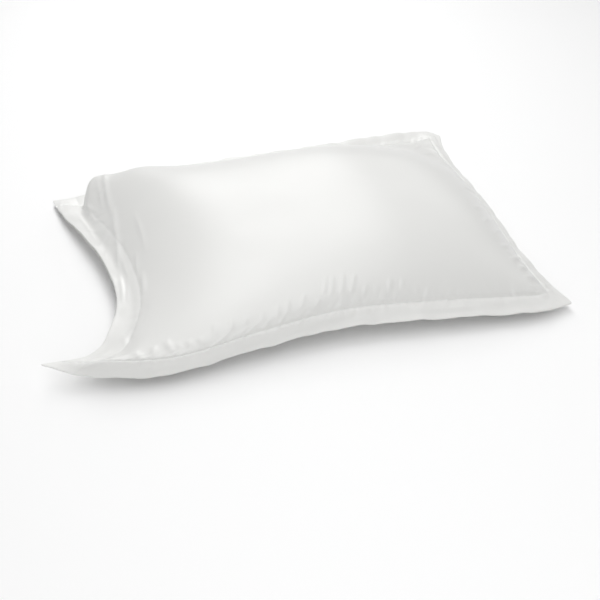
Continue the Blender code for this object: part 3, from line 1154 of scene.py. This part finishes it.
def satin_material(finish, weave):
    """White satin: a close weave with a soft sheen, lighter where the cloth is doubled, which is
    partly painted light on the hem and the border.
    """
    material, shader, woven = woven_material("white_satin", weave, cloth_place, SATIN_BUMP)
    tree = material.node_tree
    # The lighter doubled colour is partly painted light on the hem and the border.
    single, doubled = (
        shaded(tree, colour, woven.outputs["Bloom"], SATIN_DARKEST)
        for colour in (finish.colour, finish.doubled_and_painted_light_colour)
    )
    smoothest, roughest = finish.roughness - SATIN_UNEVEN, finish.roughness + SATIN_UNEVEN
    look = {
        "Base Color": mixed(tree, doubled_and_painted_light_mask(tree), single, doubled),
        "Roughness": blended(tree, woven.outputs["Slub"], smoothest, roughest),
        "Sheen Weight": SATIN_SHEEN,
        "Sheen Roughness": SATIN_SHEEN_ROUGHNESS,
        "Specular IOR Level": SATIN_SPECULAR,
    }
    connect(tree, shader, look)
    return material


def thread_place(tree):
    """Where a point of the stitches lies, in metres."""
    return add_node(tree, "TexCoord").outputs["Object"]


def thread_material(finish, weave):
    """White sewing thread, twisted and a little duller than the satin."""
    material, shader, woven = woven_material("white_thread", weave, thread_place, THREAD_BUMP)
    tree, slub = material.node_tree, woven.outputs["Slub"]
    look = {
        "Base Color": shaded(tree, finish.thread_colour, slub, THREAD_DARKEST),
        "Roughness": blended(tree, slub, THREAD_SMOOTHEST, THREAD_ROUGHEST),
    }
    connect(tree, shader, look)
    return material


def floor_material(stage):
    """Pale matt floor."""
    material, tree, shader = node_material("pale_floor")
    look = {
        "Base Color": stage.floor_colour,
        "Roughness": FLOOR_ROUGHNESS,
        "Specular IOR Level": FLOOR_SPECULAR,
    }
    connect(tree, shader, look)
    return material


def finish_materials():
    """The satin and thread materials, made once."""
    finish = bpy.context.scene.pillowcase_finish
    weave = bpy.data.node_groups.get("satin_weave") or weave_group()
    satin = bpy.data.materials.get("white_satin") or satin_material(finish, weave)
    thread = bpy.data.materials.get("white_thread") or thread_material(finish, weave)
    return satin, thread


# The stage


def add_floor(stage):
    """A wide flat floor that the case lies on."""
    data = bpy.data.meshes.new("floor")
    half = stage.floor_size / 2
    corners = [(-half, -half), (half, -half), (half, half), (-half, half)]
    data.from_pydata([(x, y, FLOOR_DROP) for x, y in corners], [], [range(4)])
    data.materials.append(floor_material(stage))
    put_in_scene("floor", data)


def add_light(name, place, power):
    """A soft square lamp that faces the case."""
    data = bpy.data.lights.new(name, "AREA")
    data.size = LAMP_SIZE
    data.energy = power
    lamp = put_in_scene(name, data)
    lamp.location = place
    lamp.rotation_euler = (Vector(LAMP_AIM) - Vector(place)).to_track_quat("-Z", "Y").to_euler()


def add_sky(strength):
    """Even white light from all sides."""
    world = bpy.data.worlds.new("studio")
    world.use_nodes = True
    sky = world.node_tree.nodes["Background"]
    sky.inputs["Color"].default_value = (1.0, 1.0, 1.0, 1.0)
    sky.inputs["Strength"].default_value = strength
    bpy.context.scene.world = world


def add_camera(stage):
    """The camera at the photograph's angle to the case."""
    turn, tilt = stage.camera_turn, stage.camera_tilt
    back = Vector(
        (math.sin(turn) * math.cos(tilt), -math.cos(turn) * math.cos(tilt), math.sin(tilt))
    )
    right = Vector((math.cos(turn), math.sin(turn), 0.0))
    data = bpy.data.cameras.new("photo_camera")
    data.lens = stage.lens
    camera = put_in_scene("photo_camera", data)
    camera.matrix_world = Matrix((right, back.cross(right), back)).transposed().to_4x4()
    camera.location = stage.camera_place
    bpy.context.scene.camera = camera


# The steps, as operators


def take_part(piece):
    """Let a piece ride on the packed body and stand for its node."""
    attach(piece, BODY)
    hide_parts(CAD_NODE)


def sew(context, name, sides):
    """Stitch sides of the case on both panels, as one piece. The case has to be there."""
    case = bpy.data.objects.get(CASE_NAME)
    if case is None:
        raise RuntimeError("the case is made first, and its stitches after it")
    sizes, stitch = context.scene.pillowcase_sizes, context.scene.pillowcase_stitches
    paths = [seam_path(case, sizes, side, panel) for side in sides for panel in (1.0, -1.0)]
    take_part(stitch_object(name, paths, stitch, finish_materials()[1]))


class PILLOWCASE_OT_case(bpy.types.Operator):
    """Cut the case, fill it and let its cloth relax"""

    bl_idname = "pillowcase.case"
    bl_label = "Filled Case"

    def execute(self, context):
        sizes, cloth = context.scene.pillowcase_sizes, context.scene.pillowcase_cloth
        case = plan_object(CasePlan(sizes, cloth.cell))
        lay_in_frame(case)
        relax(case, sizes, cloth)
        refine(case)
        gather_cloth(case, sizes)
        dissolve_patch(case)
        case.data.shade_smooth()
        case.data.materials.append(finish_materials()[0])
        take_part(case)
        return {"FINISHED"}


class PILLOWCASE_OT_seam_stitches(bpy.types.Operator):
    """Stitch the flange on three sides, on both panels"""

    bl_idname = "pillowcase.seam_stitches"
    bl_label = "Seam Stitches"

    def execute(self, context):
        sew(context, "seam_stitches", SEWN)
        return {"FINISHED"}


class PILLOWCASE_OT_hem_stitches(bpy.types.Operator):
    """Stitch the hem round the mouth"""

    bl_idname = "pillowcase.hem_stitches"
    bl_label = "Hem Stitches"

    def execute(self, context):
        sew(context, "hem_stitches", ("mouth",))
        return {"FINISHED"}


class PILLOWCASE_OT_stage(bpy.types.Operator):
    """Set up the floor, the soft studio light and the camera"""

    bl_idname = "pillowcase.stage"
    bl_label = "Studio"

    def execute(self, context):
        stage = context.scene.pillowcase_stage
        add_floor(stage)
        add_sky(stage.sky)
        for lamp in LAMPS:
            add_light(*lamp)
        add_camera(stage)
        context.scene.view_settings.view_transform = "Standard"
        return {"FINISHED"}


class PILLOWCASE_PT_maker(bpy.types.Panel):
    """Settings and steps of the filled pillowcase"""

    bl_idname = "PILLOWCASE_PT_maker"
    bl_label = "Filled Pillowcase"
    bl_space_type = "VIEW_3D"
    bl_region_type = "UI"
    bl_category = "Pillowcase"

    def draw(self, context):
        for name, settings in SETTINGS.items():
            box = self.layout.box()
            box.label(text=settings.__doc__)
            group = getattr(context.scene, name)
            for key in settings.__annotations__:
                box.prop(group, key)
        for step in STEPS:
            self.layout.operator(step.bl_idname)


SETTINGS = {
    "pillowcase_sizes": CaseSizes,
    "pillowcase_cloth": ClothSettings,
    "pillowcase_finish": SatinFinish,
    "pillowcase_stitches": StitchSettings,
    "pillowcase_stage": StageSettings,
}
STEPS = (
    PILLOWCASE_OT_case,
    PILLOWCASE_OT_seam_stitches,
    PILLOWCASE_OT_hem_stitches,
    PILLOWCASE_OT_stage,
)


def register():
    """Register the settings, the steps and the panel."""
    for name, settings in SETTINGS.items():
        bpy.utils.register_class(settings)
        setattr(bpy.types.Scene, name, PointerProperty(type=settings))
    for step in (*STEPS, PILLOWCASE_PT_maker):
        bpy.utils.register_class(step)


def unregister():
    """Take away what register added."""
    for step in reversed((*STEPS, PILLOWCASE_PT_maker)):
        bpy.utils.unregister_class(step)
    for name, settings in SETTINGS.items():
        delattr(bpy.types.Scene, name)
        bpy.utils.unregister_class(settings)


def main():
    """Make the case, its stitches and the studio."""
    register()
    bpy.ops.pillowcase.case()
    bpy.ops.pillowcase.seam_stitches()
    bpy.ops.pillowcase.hem_stitches()
    bpy.ops.pillowcase.stage()


if __name__ == "__main__":
    main()
